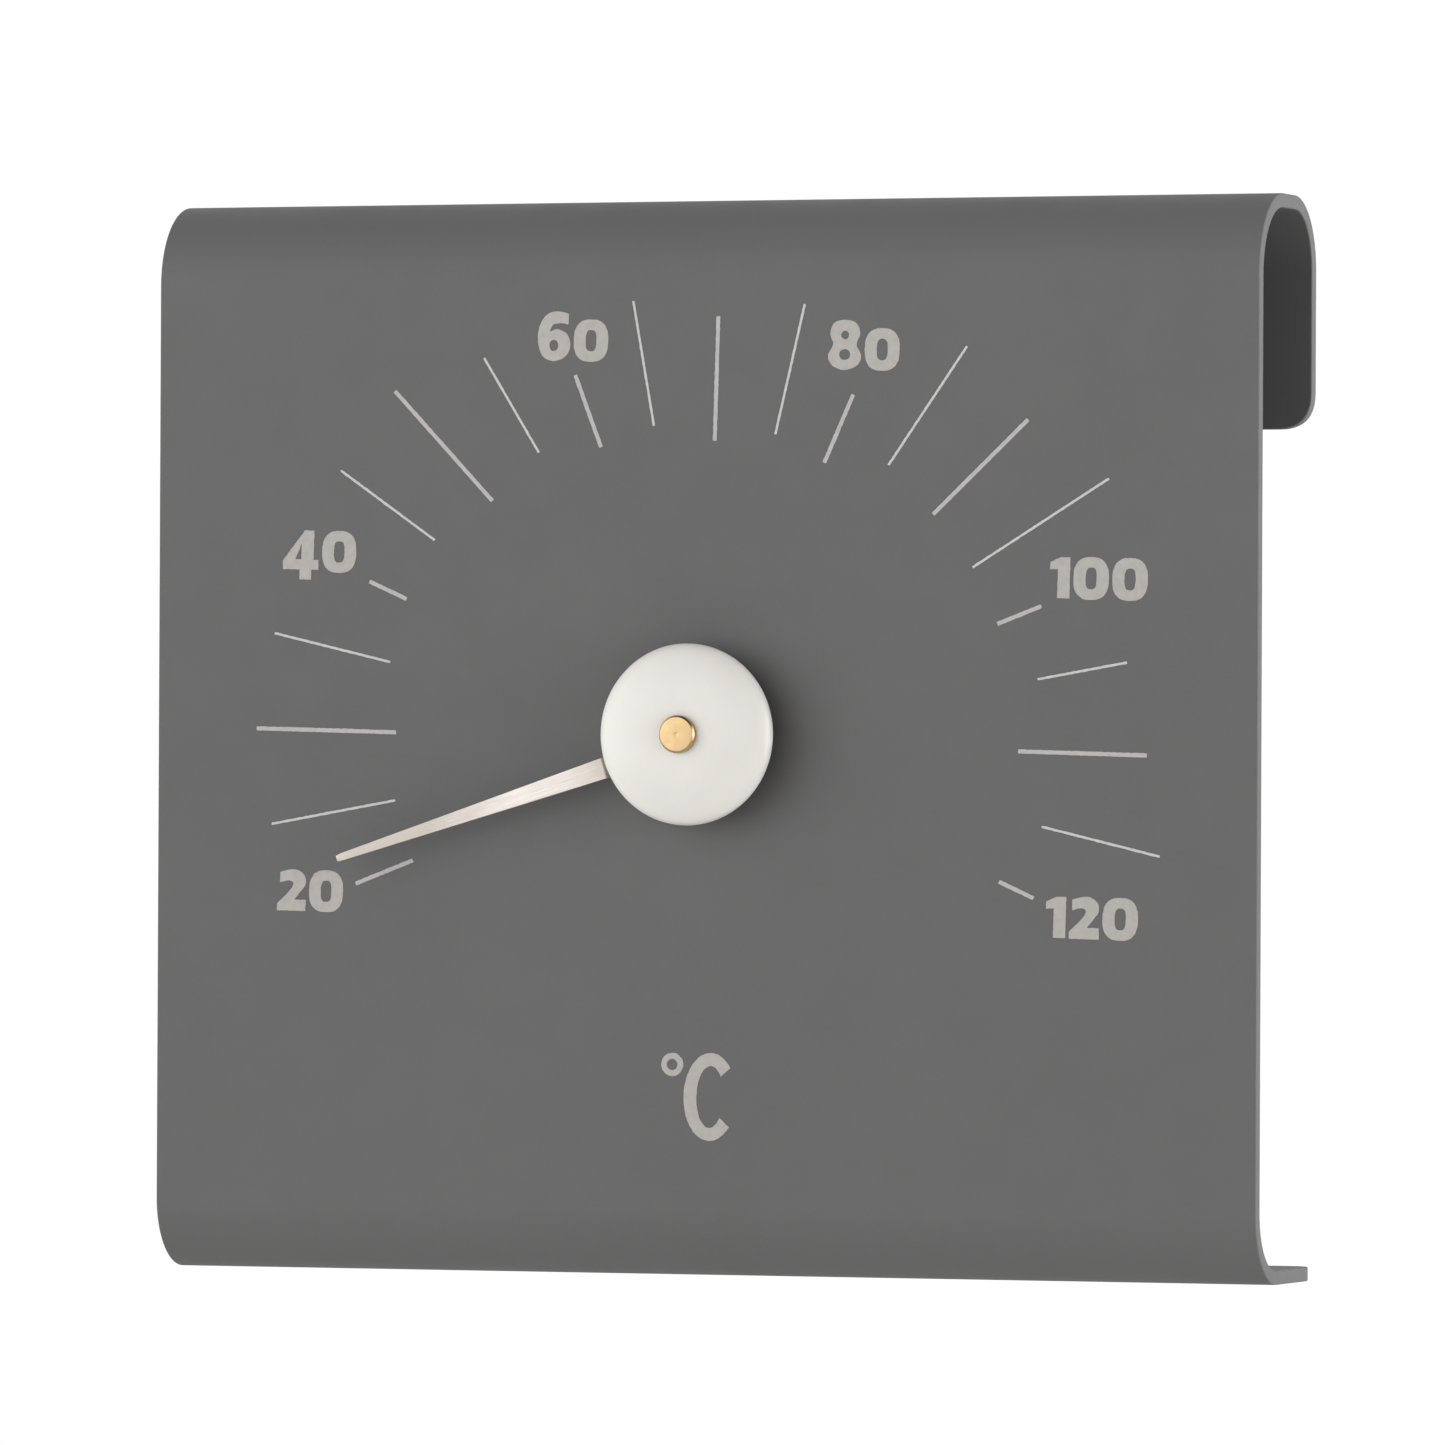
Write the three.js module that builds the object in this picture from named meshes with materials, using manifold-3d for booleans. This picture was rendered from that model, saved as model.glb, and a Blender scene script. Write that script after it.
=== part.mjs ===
// Wall-hung dial thermometer: one bent sheet-metal panel that carries a bimetal movement at its centre.
// Millimetres, +Z up. The front faces -Y, and the plane y = 0 is the wall that the panel hangs on.
// The origin is the centre of the rear flange's flat wall side.

import * as THREE from 'three';
import { mergeVertices } from 'three/addons/utils/BufferGeometryUtils.js';
import Module from 'manifold-3d';

const wasm = await Module();
wasm.setup();

// ---------- driving dimensions: sheet ----------

const SHEET = 2;                // sheet thickness
const WIDTH = 162;              // across the panel
const HEIGHT = 150;             // from the foot to the top
const DEPTH = 27;               // from the wall to the front face
const REAR_DROP = 32;           // how far the rear flange hangs below the top
const FRONT_BEND = 11.5;        // outer radius, front to top
const REAR_BEND = 10;           // outer radius, top to rear flange
const FOOT_BEND = 10;           // outer radius, front to foot
const REAR_CORNER = 5;          // rounded lower corners of the rear flange
const FOOT_CORNER = 3;          // rounded rear corners of the foot

const KEYHOLE_OFFSET = 50;      // each side of the middle
const KEYHOLE_DROP = 3.5;       // round part's centre below the flange's middle
const KEYHOLE_HEAD = 4.2;       // radius that a screw's head goes through
const KEYHOLE_SHANK = 2.3;      // radius of the slot that holds the screw's shank
const KEYHOLE_RISE = 8;         // from the round part's centre to the slot's end centre

// ---------- driving dimensions: movement ----------
// Heights are measured forwards from the panel's front face, so what lies behind it is negative.

const HUB_RISE = 0.3;           // spindle's centre above the panel's middle
const CAP_RADIUS = 12.6;
const CAP_BACK = 4.8;           // height of the rim's rear edge
const CAP_RIM = 5.1;            // height at which the rim's thin edge ends and the dome begins
const CAP_FACE = 8.4;           // height of the dome's top
const CAP_SEAT = 3;             // radius of the dome's flat middle, under the spindle's head
const CAP_RECESS_RADIUS = 9;
const CAP_RECESS_FLOOR = 6.4;

const SPINDLE_RADIUS = 1.5;
const SPINDLE_HEAD_RADIUS = 2.6;
const SPINDLE_FACE = 9.4;       // height of the head's front face
const SPINDLE_TAIL = -12.6;     // height of the slotted rear end
const GROOVE_RADIUS = 1.1;      // the clip's groove
const GROOVE_FRONT = -10.3;
const GROOVE_BACK = -11.1;
const TURNING_BORE = 1.6;       // bore in which the spindle turns
const FIXED_BORE = 1.8;         // bore of what sits still on the spindle

const THREAD_RADIUS = 4;        // bush, M8
const THREAD_BORE = 4.3;        // holes that the bush goes through
const BUSH_END = -9;
const FRONT_WASHER = 0.5;       // each ring's thickness, and its outer radius
const FRONT_WASHER_RADIUS = 7;
const BUSH_FLANGE = 0.8;
const BUSH_FLANGE_RADIUS = 6;
const REAR_WASHER = 0.8;
const REAR_WASHER_RADIUS = 8;
const LOCK_WASHER = 0.6;
const LOCK_WASHER_RADIUS = 6.8;
const LOCK_TEETH = 10;          // inward teeth
const LOCK_TOOTH_ROOT = 5.2;    // radius between the teeth
const LOCK_GAP = 0.6;           // share of each tooth's pitch that is gap
const NUT_HEIGHT = 3.2;
const NUT_FLATS = 13;           // across the flats

const PLAY = 0.1;               // free space beside what turns behind the bush
const WAVE_WASHER = 0.7;        // height over the waves
const WAVE_SHEET = 0.2;
const WAVES = 3;
const TAIL_WASHER = 0.4;
const TAIL_RING_RADIUS = 3.4;   // wave washer and tail washer
const CLIP_RADIUS = 3.2;
const CLIP_MOUTH = 0.9;         // radians, half of the open side

const COIL_STRIP = 0.25;        // strip thickness
const COIL_BACK = 2.1;          // height of the strip's rear edge
const COIL_FRONT = 4.4;         // height of the strip's front edge
const COIL_TURNS = 7;
const COIL_PITCH = 1.2;
const COIL_OUTER = 12.2;        // radius of the strip's middle at its outer end
const COIL_SEGMENTS = 32;       // for each turn
const COIL_PAST_TAB = 13;       // degrees that the strip runs on past the pointer's tab
const COIL_TAIL_INSIDE = 2.4;   // the strip's straight tail ends at this radius
const COIL_TAIL_OFFSET = -0.35; // the tail lies to one side of the arbor's slot, its pin to the other
const COIL_PIN_OFFSET = 0.4;
const COIL_PIN_RADIUS = 0.3;
const ARBOR_RADIUS = 3.3;
const ARBOR_BACK = 1.4;
const ARBOR_FRONT = 6;
const ARBOR_SLOT_INSIDE = 2.2;  // the slot runs outwards from this radius
const ARBOR_SLOT_WIDTH = 1.7;
const ARBOR_SLOT_FRONT = 4.5;

const POINTER_ANGLE = 197.8;    // degrees, counter-clockwise from +X as seen from the front
const POINTER_OFFSET = 0.7;     // blade's centre line beside the spindle's axis
const POINTER_TIP = 55;         // from the axis to the tip
const POINTER_SHEET = 0.5;
const POINTER_FACE = 4.6;       // height of the blade's front face
const POINTER_ROOT_WIDTH = 3;
const POINTER_TIP_WIDTH = 1.1;
const TAB_INSIDE = 12.5;        // from the axis to the tab's inner side
const TAB_BACK = 2.1;           // height of the tab's free edge
const TAB_BEND = 0.9;           // outer radius of the fold
const RIVET_RADIUS = 0.35;
const RIVET_HOLE = 0.5;
const RIVET_HEAD = 0.7;
const RIVET_HEAD_TOP = 0.42;    // flat end of the head
const RIVET_HEAD_HEIGHT = 0.25;
const RIVET_PLAY = 0.05;        // between the outer head and the tab
const RIVET_GRIP = 0.625;       // from the tab's inner side to the inner head, past the coil
const RIVET_SPACING = 1.5;

const ROUND = 40;               // facets round the spindle's axis
const SLACK = 1;                // how far a cutter reaches past what it cuts

// ---------- worked out ----------

const FRONT = -DEPTH;
const flangeFlat = REAR_DROP - REAR_BEND;
const TOP = REAR_BEND + flangeFlat / 2;
const BOTTOM = TOP - HEIGHT;
const FLANGE_BOTTOM = TOP - REAR_DROP;
const HUB_Z = (TOP + BOTTOM) / 2 + HUB_RISE;
const radians = THREE.MathUtils.degToRad;

const colours = {
  coat: { color: 0x6c6b69, roughness: 0.65, metalness: 0.1 },
  white: { color: 0xe8e4de, roughness: 0.45, metalness: 0 },
  brass: { color: 0xd9b36a, roughness: 0.3, metalness: 1 },
  silver: { color: 0xd8d4cf, roughness: 0.35, metalness: 1 },
  steel: { color: 0x9b9c9e, roughness: 0.4, metalness: 1 },
  fibre: { color: 0x8a5a3c, roughness: 0.9, metalness: 0 },
};

// ---------- helpers ----------

function toManifold(geometry) {
  const bare = geometry.clone();
  bare.deleteAttribute('normal');
  bare.deleteAttribute('uv');
  const merged = mergeVertices(bare, 1e-5);
  const vertProperties = new Float32Array(merged.attributes.position.array);
  const triVerts = new Uint32Array(merged.index.array);
  return new wasm.Manifold(new wasm.Mesh({ numProp: 3, vertProperties, triVerts }));
}

function toGeometry(solid) {
  const { vertProperties, triVerts } = solid.getMesh();
  const geometry = new THREE.BufferGeometry();
  geometry.setAttribute('position', new THREE.BufferAttribute(new Float32Array(vertProperties), 3));
  geometry.setIndex(new THREE.BufferAttribute(new Uint32Array(triVerts), 1));
  geometry.computeVertexNormals();
  return geometry;
}

function cut(geometry, ...cutters) {
  const solids = cutters.map(toManifold);
  return toGeometry(solids.reduce((left, cutter) => left.subtract(cutter), toManifold(geometry)));
}

function common(a, b) {
  return toGeometry(toManifold(a).intersect(toManifold(b)));
}

// An (x, z) outline given thickness along Y, from one height in front of y = 0 to a greater one.
function plate(shape, back, front, curveSegments = 12) {
  const settings = { depth: front - back, bevelEnabled: false, curveSegments };
  const geometry = new THREE.ExtrudeGeometry(shape, settings);
  return geometry.rotateX(Math.PI / 2).translate(0, -back, 0);
}

// A section in the (y, z) plane, given width along X and centred on x = 0.
function across(shape, width, curveSegments = 8) {
  const settings = { depth: width, bevelEnabled: false, curveSegments };
  const geometry = new THREE.ExtrudeGeometry(shape, settings).translate(0, 0, -width / 2);
  const swap = new THREE.Matrix4().makeBasis(
    new THREE.Vector3(0, 1, 0), new THREE.Vector3(0, 0, 1), new THREE.Vector3(1, 0, 0));
  return geometry.applyMatrix4(swap);
}

// A closed profile of [radius, height] points, clockwise with the height upwards, turned about the axis.
function turned(profile, facets = ROUND) {
  const points = profile.map(([radius, height]) => new THREE.Vector2(radius, -height));
  return new THREE.LatheGeometry(points, facets);
}

function ring(inner, outer, back, front, facets = ROUND) {
  return turned([[inner, back], [inner, front], [outer, front], [outer, back], [inner, back]], facets);
}

// Points on an ellipse, from the angle a to the angle b in degrees.
function arc(centreX, centreY, radiusX, radiusY, a, b, steps) {
  return Array.from({ length: steps + 1 }, (_, i) => {
    const angle = radians(a + (b - a) * i / steps);
    return [centreX + radiusX * Math.cos(angle), centreY + radiusY * Math.sin(angle)];
  });
}

function circle(x, z, radius) {
  return new THREE.Shape().absarc(x, z, radius, 0, 2 * Math.PI, false);
}

function rectangle(x0, z0, x1, z1) {
  const shape = new THREE.Shape();
  shape.moveTo(x0, z0).lineTo(x1, z0).lineTo(x1, z1).lineTo(x0, z1).closePath();
  return shape;
}

const model = new THREE.Group();
const hub = new THREE.Group();
hub.position.set(0, FRONT, HUB_Z);
model.add(hub);
const turnedHub = new THREE.Group();          // local +X runs along the pointer
turnedHub.rotation.y = -radians(POINTER_ANGLE);
hub.add(turnedHub);

function add(parent, name, geometry, colour) {
  const mesh = new THREE.Mesh(geometry, new THREE.MeshStandardMaterial(colours[colour]));
  mesh.name = name;
  parent.add(mesh);
}

// ---------- panel ----------

function panelSection() {
  const frontCentre = [FRONT + FRONT_BEND, TOP - FRONT_BEND];
  const rearCentre = [-REAR_BEND, TOP - REAR_BEND];
  const footCentre = [FRONT + FOOT_BEND, BOTTOM + FOOT_BEND];
  const quarter = Math.PI / 2;
  const section = new THREE.Shape();
  section.moveTo(0, FLANGE_BOTTOM);
  section.lineTo(0, TOP - REAR_BEND);
  section.absarc(...rearCentre, REAR_BEND, 0, quarter, false);
  section.absarc(...frontCentre, FRONT_BEND, quarter, 2 * quarter, false);
  section.absarc(...footCentre, FOOT_BEND, 2 * quarter, 3 * quarter, false);
  section.lineTo(0, BOTTOM);
  section.lineTo(0, BOTTOM + SHEET);
  section.absarc(...footCentre, FOOT_BEND - SHEET, 3 * quarter, 2 * quarter, true);
  section.absarc(...frontCentre, FRONT_BEND - SHEET, 2 * quarter, quarter, true);
  section.absarc(...rearCentre, REAR_BEND - SHEET, quarter, 0, true);
  section.lineTo(-SHEET, FLANGE_BOTTOM);
  section.closePath();
  return section;
}

// What a rounded corner takes off a sharp one. The corner is at 0, 0, and the sheet lies above it and
// towards the middle: side is 1 at the right-hand edge and -1 at the left-hand one.
function cornerOffcut(radius, side) {
  const shape = new THREE.Shape();
  const tangent = side > 0 ? 0 : -Math.PI;
  shape.moveTo(-side * radius, 0);
  shape.absarc(-side * radius, radius, radius, -Math.PI / 2, tangent, side < 0);
  shape.lineTo(side * SLACK, radius);
  shape.lineTo(side * SLACK, -SLACK);
  shape.lineTo(-side * radius, -SLACK);
  shape.closePath();
  return shape;
}

function flangeCorner(side) {
  return plate(cornerOffcut(REAR_CORNER, side), -SLACK, SHEET + SLACK)
    .translate(side * WIDTH / 2, 0, FLANGE_BOTTOM);
}

function footCorner(side) {
  return plate(cornerOffcut(FOOT_CORNER, side), -SLACK, SHEET + SLACK)
    .rotateX(Math.PI / 2)
    .translate(side * WIDTH / 2, 0, BOTTOM + SHEET);
}

function keyhole(x) {
  const centre = -KEYHOLE_DROP;
  const head = plate(circle(x, centre, KEYHOLE_HEAD), -SLACK, SHEET + SLACK, 16);
  const slot = plate(rectangle(x - KEYHOLE_SHANK, centre, x + KEYHOLE_SHANK, centre + KEYHOLE_RISE),
    -SLACK, SHEET + SLACK);
  const end = plate(circle(x, centre + KEYHOLE_RISE, KEYHOLE_SHANK), -SLACK, SHEET + SLACK, 12);
  return [head, slot, end];
}

function panel() {
  const bushHole = plate(circle(0, HUB_Z, THREAD_BORE), DEPTH - SHEET - SLACK, DEPTH + SLACK, 20);
  return cut(across(panelSection(), WIDTH), bushHole,
    flangeCorner(-1), flangeCorner(1), footCorner(-1), footCorner(1),
    ...keyhole(-KEYHOLE_OFFSET), ...keyhole(KEYHOLE_OFFSET));
}

// ---------- fixed pieces of the movement ----------

function bush() {
  const back = FRONT_WASHER;
  const front = FRONT_WASHER + BUSH_FLANGE;
  const chamfer = 0.5;
  return turned([
    [TURNING_BORE, BUSH_END], [TURNING_BORE, front],
    [BUSH_FLANGE_RADIUS, front], [BUSH_FLANGE_RADIUS, back], [THREAD_RADIUS, back],
    [THREAD_RADIUS, BUSH_END + chamfer], [THREAD_RADIUS - chamfer, BUSH_END], [TURNING_BORE, BUSH_END],
  ]);
}

function lockWasher(back, front) {
  const pitch = 2 * Math.PI / LOCK_TEETH;
  const shape = circle(0, 0, LOCK_WASHER_RADIUS);
  const hole = new THREE.Path();
  for (let i = 0; i < LOCK_TEETH; i++) {
    const tooth = (i + LOCK_GAP) * pitch;
    hole.absarc(0, 0, LOCK_TOOTH_ROOT, i * pitch, tooth, false);
    hole.absarc(0, 0, THREAD_BORE, tooth, (i + 1) * pitch, false);
  }
  shape.holes.push(hole);
  return plate(shape, back, front, 3);
}

function hexNut(back, front) {
  const corner = NUT_FLATS / 2 / Math.cos(Math.PI / 6);
  const chamfer = 0.6;
  const inset = 2 * chamfer;
  const corners = arc(0, 0, corner, corner, 0, 300, 5).map(([x, z]) => new THREE.Vector2(x, z));
  const outline = new THREE.Shape(corners);
  outline.holes.push(circle(0, 0, THREAD_BORE));
  const round = turned([
    [0, back], [0, front], [corner - inset, front], [corner, front - chamfer],
    [corner, back + chamfer], [corner - inset, back], [0, back],
  ]);
  return common(plate(outline, back, front, 20), round);
}

function addFixedPieces() {
  const washerBack = -SHEET - REAR_WASHER;
  const lockBack = washerBack - LOCK_WASHER;
  add(hub, 'front_washer', ring(THREAD_BORE, FRONT_WASHER_RADIUS, 0, FRONT_WASHER), 'fibre');
  add(hub, 'spindle_bush', bush(), 'brass');
  add(hub, 'rear_washer', ring(THREAD_BORE, REAR_WASHER_RADIUS, washerBack, -SHEET), 'steel');
  add(hub, 'lock_washer', lockWasher(lockBack, washerBack), 'steel');
  add(hub, 'rear_nut', hexNut(lockBack - NUT_HEIGHT, lockBack), 'brass');
}

// ---------- pieces that turn with the spindle ----------

function spindle() {
  const chamfer = 0.25;
  const dimple = 0.25;
  const body = turned([
    [0, SPINDLE_TAIL], [0, SPINDLE_FACE - dimple], [dimple, SPINDLE_FACE],
    [SPINDLE_HEAD_RADIUS - chamfer, SPINDLE_FACE], [SPINDLE_HEAD_RADIUS, SPINDLE_FACE - chamfer],
    [SPINDLE_HEAD_RADIUS, CAP_FACE], [SPINDLE_RADIUS, CAP_FACE], [SPINDLE_RADIUS, GROOVE_FRONT],
    [GROOVE_RADIUS, GROOVE_FRONT], [GROOVE_RADIUS, GROOVE_BACK], [SPINDLE_RADIUS, GROOVE_BACK],
    [SPINDLE_RADIUS, SPINDLE_TAIL + chamfer], [SPINDLE_RADIUS - chamfer, SPINDLE_TAIL], [0, SPINDLE_TAIL],
  ]);
  const slotWidth = 0.7;
  const slotDepth = 0.9;
  const reach = SPINDLE_RADIUS + SLACK;
  const slot = plate(rectangle(-reach, -slotWidth / 2, reach, slotWidth / 2),
    SPINDLE_TAIL - SLACK, SPINDLE_TAIL + slotDepth);
  return cut(body, slot);
}

function cap() {
  const dome = arc(CAP_SEAT, CAP_RIM, CAP_RADIUS - CAP_SEAT, CAP_FACE - CAP_RIM, 90, 0, 12);
  return turned([
    [FIXED_BORE, CAP_RECESS_FLOOR], [FIXED_BORE, CAP_FACE], ...dome,
    [CAP_RADIUS, CAP_BACK], [CAP_RECESS_RADIUS, CAP_BACK],
    [CAP_RECESS_RADIUS, CAP_RECESS_FLOOR], [FIXED_BORE, CAP_RECESS_FLOOR],
  ], 72);
}

function arbor() {
  const side = ARBOR_SLOT_WIDTH / 2;
  const slot = plate(rectangle(ARBOR_SLOT_INSIDE, -side, ARBOR_RADIUS + SLACK, side),
    ARBOR_BACK - SLACK, ARBOR_SLOT_FRONT);
  return cut(ring(FIXED_BORE, ARBOR_RADIUS, ARBOR_BACK, ARBOR_FRONT), slot);
}

// Outline of a strip of even thickness along a line of [x, z] points.
function stripOutline(line, thickness) {
  const sides = [1, -1].map((side) => line.map(([x, z], i) => {
    const [x0, z0] = line[Math.max(i - 1, 0)];
    const [x1, z1] = line[Math.min(i + 1, line.length - 1)];
    const length = Math.hypot(x1 - x0, z1 - z0);
    const shift = side * thickness / 2 / length;
    return new THREE.Vector2(x + (z1 - z0) * shift, z - (x1 - x0) * shift);
  }));
  return new THREE.Shape([...sides[0], ...sides[1].reverse()]);
}

// The strip runs from its tail in the arbor's slot, out along the turns and just past the pointer's tab.
function coil() {
  const tailAngle = Math.asin(COIL_TAIL_OFFSET / ARBOR_RADIUS);
  const lastAngle = radians(COIL_PAST_TAB) + COIL_TURNS * 2 * Math.PI;
  const steps = Math.round((lastAngle - tailAngle) / (2 * Math.PI) * COIL_SEGMENTS);
  const spiral = Array.from({ length: steps + 1 }, (_, i) => {
    const angle = tailAngle + (lastAngle - tailAngle) * i / steps;
    const radius = COIL_OUTER - COIL_PITCH * (COIL_TURNS - angle / (2 * Math.PI));
    return [radius * Math.cos(angle), radius * Math.sin(angle)];
  });
  const line = [[COIL_TAIL_INSIDE, COIL_TAIL_OFFSET], ...spiral];
  const strip = plate(stripOutline(line, COIL_STRIP), COIL_BACK, COIL_FRONT);
  return cut(strip, ...rivetPlaces().map((z) => radialPin(RIVET_HOLE, TAB_INSIDE - SLACK, TAB_INSIDE, z)));
}

function coilPin() {
  const rod = ring(0, COIL_PIN_RADIUS, COIL_BACK, COIL_FRONT, 12);
  return rod.translate((ARBOR_SLOT_INSIDE + ARBOR_RADIUS) / 2, 0, COIL_PIN_OFFSET);
}

function waveWasher(back, front) {
  const swing = (front - back - WAVE_SHEET) / 2;
  const shape = circle(0, 0, TAIL_RING_RADIUS);
  shape.holes.push(circle(0, 0, FIXED_BORE));
  const geometry = plate(shape, back + swing, back + swing + WAVE_SHEET, 36);
  const places = geometry.attributes.position;
  for (let i = 0; i < places.count; i++) {
    const angle = Math.atan2(places.getZ(i), places.getX(i));
    places.setY(i, places.getY(i) + swing * Math.cos(WAVES * angle));
  }
  return geometry;
}

function retainingClip(back, front) {
  const shape = new THREE.Shape();
  shape.absarc(0, 0, CLIP_RADIUS, CLIP_MOUTH, 2 * Math.PI - CLIP_MOUTH, false);
  shape.absarc(0, 0, GROOVE_RADIUS + PLAY, 2 * Math.PI - CLIP_MOUTH, CLIP_MOUTH, true);
  shape.closePath();
  return plate(shape, back, front, 24);
}

function addSpindlePieces() {
  const waveFront = BUSH_END - PLAY;
  const waveBack = waveFront - WAVE_WASHER;
  const washerBack = waveBack - TAIL_WASHER;
  add(hub, 'spindle', spindle(), 'brass');
  add(hub, 'cap', cap(), 'white');
  add(hub, 'cap_washer', ring(FIXED_BORE, ARBOR_RADIUS, ARBOR_FRONT, CAP_RECESS_FLOOR), 'fibre');
  add(turnedHub, 'coil_arbor', arbor(), 'brass');
  add(turnedHub, 'bimetal_coil', coil(), 'steel');
  add(turnedHub, 'coil_pin', coilPin(), 'steel');
  add(hub, 'wave_washer', waveWasher(waveBack, waveFront), 'steel');
  add(hub, 'tail_washer', ring(FIXED_BORE, TAIL_RING_RADIUS, washerBack, waveBack), 'brass');
  add(hub, 'retaining_clip', retainingClip(GROOVE_BACK + PLAY, washerBack - PLAY), 'steel');
}

// ---------- pointer ----------

function rivetPlaces() {
  return [-0.5, 0.5].map((side) => POINTER_OFFSET + side * RIVET_SPACING);
}

const rivetHeight = (TAB_BACK + POINTER_FACE - TAB_BEND) / 2;

// A round pin along local X, at the rivets' height.
function radialPin(radius, start, end, z) {
  return ring(0, radius, start, end, 16).rotateZ(Math.PI / 2).translate(0, -rivetHeight, z);
}

function pointer() {
  const bendX = TAB_INSIDE + TAB_BEND;
  const bendHeight = POINTER_FACE - TAB_BEND;
  const inner = TAB_BEND - POINTER_SHEET;
  const side = new THREE.Shape();             // the fold seen from the side: (x, height)
  side.moveTo(TAB_INSIDE, TAB_BACK);
  side.lineTo(TAB_INSIDE + POINTER_SHEET, TAB_BACK);
  side.absarc(bendX, bendHeight, inner, Math.PI, Math.PI / 2, true);
  side.lineTo(POINTER_TIP, POINTER_FACE - POINTER_SHEET);
  side.lineTo(POINTER_TIP, POINTER_FACE);
  side.absarc(bendX, bendHeight, TAB_BEND, Math.PI / 2, Math.PI, false);
  side.closePath();
  const fold = new THREE.ExtrudeGeometry(side, { depth: 2 * POINTER_ROOT_WIDTH, bevelEnabled: false })
    .translate(0, 0, -POINTER_ROOT_WIDTH)
    .rotateX(Math.PI);
  const outline = new THREE.Shape();          // the blade seen from the front
  const root = POINTER_ROOT_WIDTH / 2;
  const tip = POINTER_TIP_WIDTH / 2;
  outline.moveTo(TAB_INSIDE - SLACK, -root).lineTo(bendX, -root).lineTo(POINTER_TIP + SLACK, -tip);
  outline.lineTo(POINTER_TIP + SLACK, tip).lineTo(bendX, root).lineTo(TAB_INSIDE - SLACK, root);
  outline.closePath();
  const blank = common(fold, plate(outline, 0, POINTER_FACE + SLACK)).translate(0, 0, POINTER_OFFSET);
  return cut(blank, ...rivetPlaces().map((z) => radialPin(RIVET_HOLE, TAB_INSIDE - SLACK, bendX, z)));
}

function rivet(z) {
  const inside = TAB_INSIDE - RIVET_GRIP;
  const outside = TAB_INSIDE + POINTER_SHEET + RIVET_PLAY;
  const start = inside - RIVET_HEAD_HEIGHT;
  const end = outside + RIVET_HEAD_HEIGHT;
  return turned([
    [0, start], [0, end], [RIVET_HEAD_TOP, end], [RIVET_HEAD, outside], [RIVET_RADIUS, outside],
    [RIVET_RADIUS, inside], [RIVET_HEAD, inside], [RIVET_HEAD, start], [0, start],
  ], 16).rotateZ(Math.PI / 2).translate(0, -rivetHeight, z);
}

// ---------- assembly ----------

add(model, 'panel', panel(), 'coat');
addFixedPieces();
addSpindlePieces();
add(turnedHub, 'pointer', pointer(), 'silver');
rivetPlaces().forEach((z, i) => add(turnedHub, `pointer_rivet_${i + 1}`, rivet(z), 'brass'));

export default model;
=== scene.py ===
"""Looks of the wall dial thermometer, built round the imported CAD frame.

Scene units are metres, +Z is up and the dial faces -Y. Sizes below are in millimetres. About the hub a
place is (x, z, height): x to the right and z up as seen from the front, and height forwards from the
panel's front face.
"""
import math

import bmesh
import bpy
import numpy as np
from mathutils import Matrix, Vector, noise


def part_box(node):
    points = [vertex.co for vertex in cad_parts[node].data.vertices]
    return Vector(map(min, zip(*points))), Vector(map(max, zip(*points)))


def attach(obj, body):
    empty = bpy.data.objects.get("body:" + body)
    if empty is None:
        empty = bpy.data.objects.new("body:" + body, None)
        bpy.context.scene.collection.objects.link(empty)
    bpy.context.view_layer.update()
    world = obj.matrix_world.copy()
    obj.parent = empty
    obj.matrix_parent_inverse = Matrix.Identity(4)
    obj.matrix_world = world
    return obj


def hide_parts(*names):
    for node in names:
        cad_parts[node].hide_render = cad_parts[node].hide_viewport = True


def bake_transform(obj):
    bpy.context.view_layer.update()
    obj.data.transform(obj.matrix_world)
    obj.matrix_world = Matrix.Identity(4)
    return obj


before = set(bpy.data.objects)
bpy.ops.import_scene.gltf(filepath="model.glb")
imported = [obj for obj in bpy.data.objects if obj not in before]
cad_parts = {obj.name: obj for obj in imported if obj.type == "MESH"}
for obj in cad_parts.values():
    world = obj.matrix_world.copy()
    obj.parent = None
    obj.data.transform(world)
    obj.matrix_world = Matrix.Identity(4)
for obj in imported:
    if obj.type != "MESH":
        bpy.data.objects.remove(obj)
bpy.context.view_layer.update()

MM = 0.001
TAU = 2 * math.pi
ON_AXIS = 1e-6                  # a radius below this, in millimetres, is a point on the axis

# ---------- sizes ----------

SHEET = 2.0
REAR_DROP = 32.0
FRONT_BEND, REAR_BEND, FOOT_BEND = 11.5, 10.0, 10.0     # outer radii
REAR_CORNER, FOOT_CORNER = 5.0, 3.0
EDGE_BREAK = 0.22               # rounding that the coat leaves on the sheet's cut edges
BEND_STEPS = 24                 # facets round each of the sheet's bends
KEYHOLE_OFFSET, KEYHOLE_DROP, KEYHOLE_RISE = 50.0, 3.5, 8.0
KEYHOLE_HEAD, KEYHOLE_SHANK = 4.2, 2.3

CAP_RADIUS, CAP_BACK, CAP_RIM, CAP_FACE = 12.6, 4.8, 5.1, 8.4   # the dome rises from the rim to the face
CAP_SEAT = 3.0                  # radius of the dome's flat middle, under the spindle's head
CAP_RECESS_RADIUS, CAP_RECESS_FLOOR = 9.0, 6.4
SPINDLE_RADIUS, SPINDLE_HEAD_RADIUS = 1.5, 2.6
SPINDLE_FACE, SPINDLE_TAIL = 9.4, -12.6
GROOVE_RADIUS, GROOVE_FRONT, GROOVE_BACK = 1.1, -10.3, -11.1
TURNING_BORE, FIXED_BORE = 1.6, 1.8
THREAD_RADIUS, THREAD_DEPTH, THREAD_PITCH, THREAD_BORE = 4.0, 0.45, 1.0, 4.3
THREAD_FRONT, THREAD_RUN_OUT = -1.0, 0.5
THREAD_FLANK, THREAD_ROOT = 1.25, 0.12      # the sides' slope, and how far they sink below a flat bottom
BUSH_END = -9.0
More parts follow.
